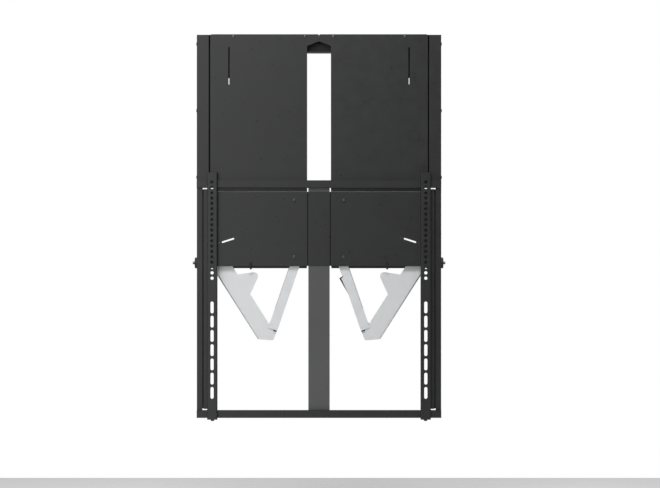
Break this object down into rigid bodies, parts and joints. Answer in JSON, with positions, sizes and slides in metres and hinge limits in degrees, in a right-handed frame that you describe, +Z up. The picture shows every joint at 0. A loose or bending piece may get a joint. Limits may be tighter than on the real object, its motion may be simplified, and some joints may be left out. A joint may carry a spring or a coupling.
{
  "type": "height-adjustable tv wall mount",
  "caption": "Spring-balanced wall unit with a frame that slides up and down, linked lever arms and slotted display uprights.",
  "frame": {"origin": "centre of the wall bolt pattern on the wall's surface", "axes": "+X right as seen from the room, +Y into the wall, +Z up"},
  "size_m": [0.7158, 0.095, 1.0903],
  "materials": {
    "powder_coat": "fine-textured black powder coat",
    "centre_coat": "dark grey powder coat",
    "zinc_steel": "zinc-plated, satin",
    "slide_steel": "black zinc, rolled",
    "spring_steel": "black oxide with oil",
    "black_screw": "black zinc",
    "black_plastic": "moulded, matt",
    "bush_bronze": "sintered, oiled"
  },
  "bodies": {
    "wall_unit": {"left_housing": "powder_coat", "left_cover": "powder_coat", "left_lower_plate": "powder_coat", "left_slide_outer": "slide_steel", "left_lever_post": "zinc_steel", "left_spindle_bearing": "slide_steel", "left_spring": "spring_steel", "right_housing": "powder_coat", "right_cover": "powder_coat", "right_lower_plate": "powder_coat", "right_slide_outer": "slide_steel", "right_lever_post": "zinc_steel", "right_spindle_bearing": "slide_steel", "right_spring": "spring_steel", "bridge_plate": "powder_coat", "top_tie": "powder_coat", "cover_screws": "black_screw", "plate_screws": "black_screw", "side_screws": "black_screw"},
    "carriage": {"top_crossbar": "powder_coat", "bottom_crossbar": "powder_coat", "centre_strip": "centre_coat", "left_outer_strip": "powder_coat", "left_side_profile": "powder_coat", "left_slide_inner": "slide_steel", "left_link_bracket": "powder_coat", "left_link_pin": "zinc_steel", "right_outer_strip": "powder_coat", "right_side_profile": "powder_coat", "right_slide_inner": "slide_steel", "right_link_bracket": "powder_coat", "right_link_pin": "zinc_steel"},
    "left_lever_arm": {"left_lever": "zinc_steel", "left_lever_bush": "bush_bronze", "left_spring_pin": "zinc_steel"},
    "left_link_arm": {"left_link": "zinc_steel", "left_link_rivet": "zinc_steel"},
    "left_cage": {"left_ball_cage": "slide_steel"},
    "left_display_upright": {"left_upright": "powder_coat"},
    "left_clamp": {"left_lock_screw": "black_screw"},
    "left_brake": {"left_brake_knob": "black_plastic", "left_brake_stud": "black_screw"},
    "left_tension": {"left_crosshead": "zinc_steel", "left_indicator": "zinc_steel"},
    "left_adjuster": {"left_spindle": "spring_steel"},
    "right_lever_arm": {"right_lever": "zinc_steel", "right_lever_bush": "bush_bronze", "right_spring_pin": "zinc_steel"},
    "right_link_arm": {"right_link": "zinc_steel", "right_link_rivet": "zinc_steel", "right_link_catch": "black_plastic"},
    "right_cage": {"right_ball_cage": "slide_steel"},
    "right_display_upright": {"right_upright": "powder_coat"},
    "right_clamp": {"right_lock_screw": "black_screw"},
    "right_brake": {"right_brake_knob": "black_plastic", "right_brake_stud": "black_screw"},
    "right_tension": {"right_crosshead": "zinc_steel", "right_indicator": "zinc_steel"},
    "right_adjuster": {"right_spindle": "spring_steel"}
  },
  "joints": [
    {"name": "lift", "type": "slide", "parent": "wall_unit", "child": "carriage", "axis": [0, 0, 1], "range_m": [0, 0.4]},
    {"name": "left_lever_turn", "type": "hinge", "parent": "wall_unit", "child": "left_lever_arm", "pos_m": [-0.3, -0.042, -0.285], "axis": [0, -1, 0], "range_deg": [0, 94.44], "deforming": ["left_spring"]},
    {"name": "left_link_turn", "type": "hinge", "parent": "carriage", "child": "left_link_arm", "pos_m": [-0.05, -0.0485, -0.267], "axis": [0, -1, 0], "range_deg": [0, 4.88]},
    {"name": "left_cage_slide", "type": "slide", "parent": "wall_unit", "child": "left_cage", "axis": [0, 0, 1], "range_m": [0, 0.2]},
    {"name": "left_upright_slide", "type": "slide", "parent": "carriage", "child": "left_display_upright", "axis": [1, 0, 0], "range_m": [0, 0.2]},
    {"name": "left_lock_travel", "type": "slide", "parent": "left_display_upright", "child": "left_clamp", "axis": [0, 0, -1], "range_m": [0, 0.004]},
    {"name": "left_brake_turn", "type": "hinge", "parent": "wall_unit", "child": "left_brake", "pos_m": [-0.3449, -0.035, -0.3146], "axis": [1, 0, 0], "range_deg": [-90, 90]},
    {"name": "left_tension_slide", "type": "slide", "parent": "wall_unit", "child": "left_tension", "axis": [0, 0, 1], "range_m": [0, 0.087]},
    {"name": "left_spindle_turn", "type": "hinge", "parent": "wall_unit", "child": "left_adjuster", "pos_m": [-0.192, -0.0545, 0.25], "axis": [0, 0, 1], "range_deg": [0, 7831]},
    {"name": "right_lever_turn", "type": "hinge", "parent": "wall_unit", "child": "right_lever_arm", "pos_m": [0.3, -0.042, -0.285], "axis": [0, 1, 0], "range_deg": [0, 94.44], "deforming": ["right_spring"]},
    {"name": "right_link_turn", "type": "hinge", "parent": "carriage", "child": "right_link_arm", "pos_m": [0.05, -0.0485, -0.267], "axis": [0, 1, 0], "range_deg": [0, 4.88]},
    {"name": "right_cage_slide", "type": "slide", "parent": "wall_unit", "child": "right_cage", "axis": [0, 0, 1], "range_m": [0, 0.2]},
    {"name": "right_upright_slide", "type": "slide", "parent": "carriage", "child": "right_display_upright", "axis": [-1, 0, 0], "range_m": [0, 0.2]},
    {"name": "right_lock_travel", "type": "slide", "parent": "right_display_upright", "child": "right_clamp", "axis": [0, 0, -1], "range_m": [0, 0.004]},
    {"name": "right_brake_turn", "type": "hinge", "parent": "wall_unit", "child": "right_brake", "pos_m": [0.3449, -0.035, -0.3146], "axis": [1, 0, 0], "range_deg": [-90, 90]},
    {"name": "right_tension_slide", "type": "slide", "parent": "wall_unit", "child": "right_tension", "axis": [0, 0, 1], "range_m": [0, 0.087]},
    {"name": "right_spindle_turn", "type": "hinge", "parent": "wall_unit", "child": "right_adjuster", "pos_m": [0.192, -0.0545, 0.25], "axis": [0, 0, 1], "range_deg": [0, 7831]}
  ],
  "couplings": [
    {"joint": "left_lever_turn", "follows": "lift", "rad_per_m": 4.1207},
    {"joint": "left_link_turn", "follows": "lift", "rad_per_m": 0.21255},
    {"joint": "left_cage_slide", "follows": "lift", "ratio": 0.5},
    {"joint": "left_spindle_turn", "follows": "left_tension_slide", "rad_per_m": 1570.8},
    {"joint": "right_lever_turn", "follows": "lift", "rad_per_m": 4.1207},
    {"joint": "right_link_turn", "follows": "lift", "rad_per_m": 0.21255},
    {"joint": "right_cage_slide", "follows": "lift", "ratio": 0.5},
    {"joint": "right_spindle_turn", "follows": "right_tension_slide", "rad_per_m": 1570.8}
  ]
}
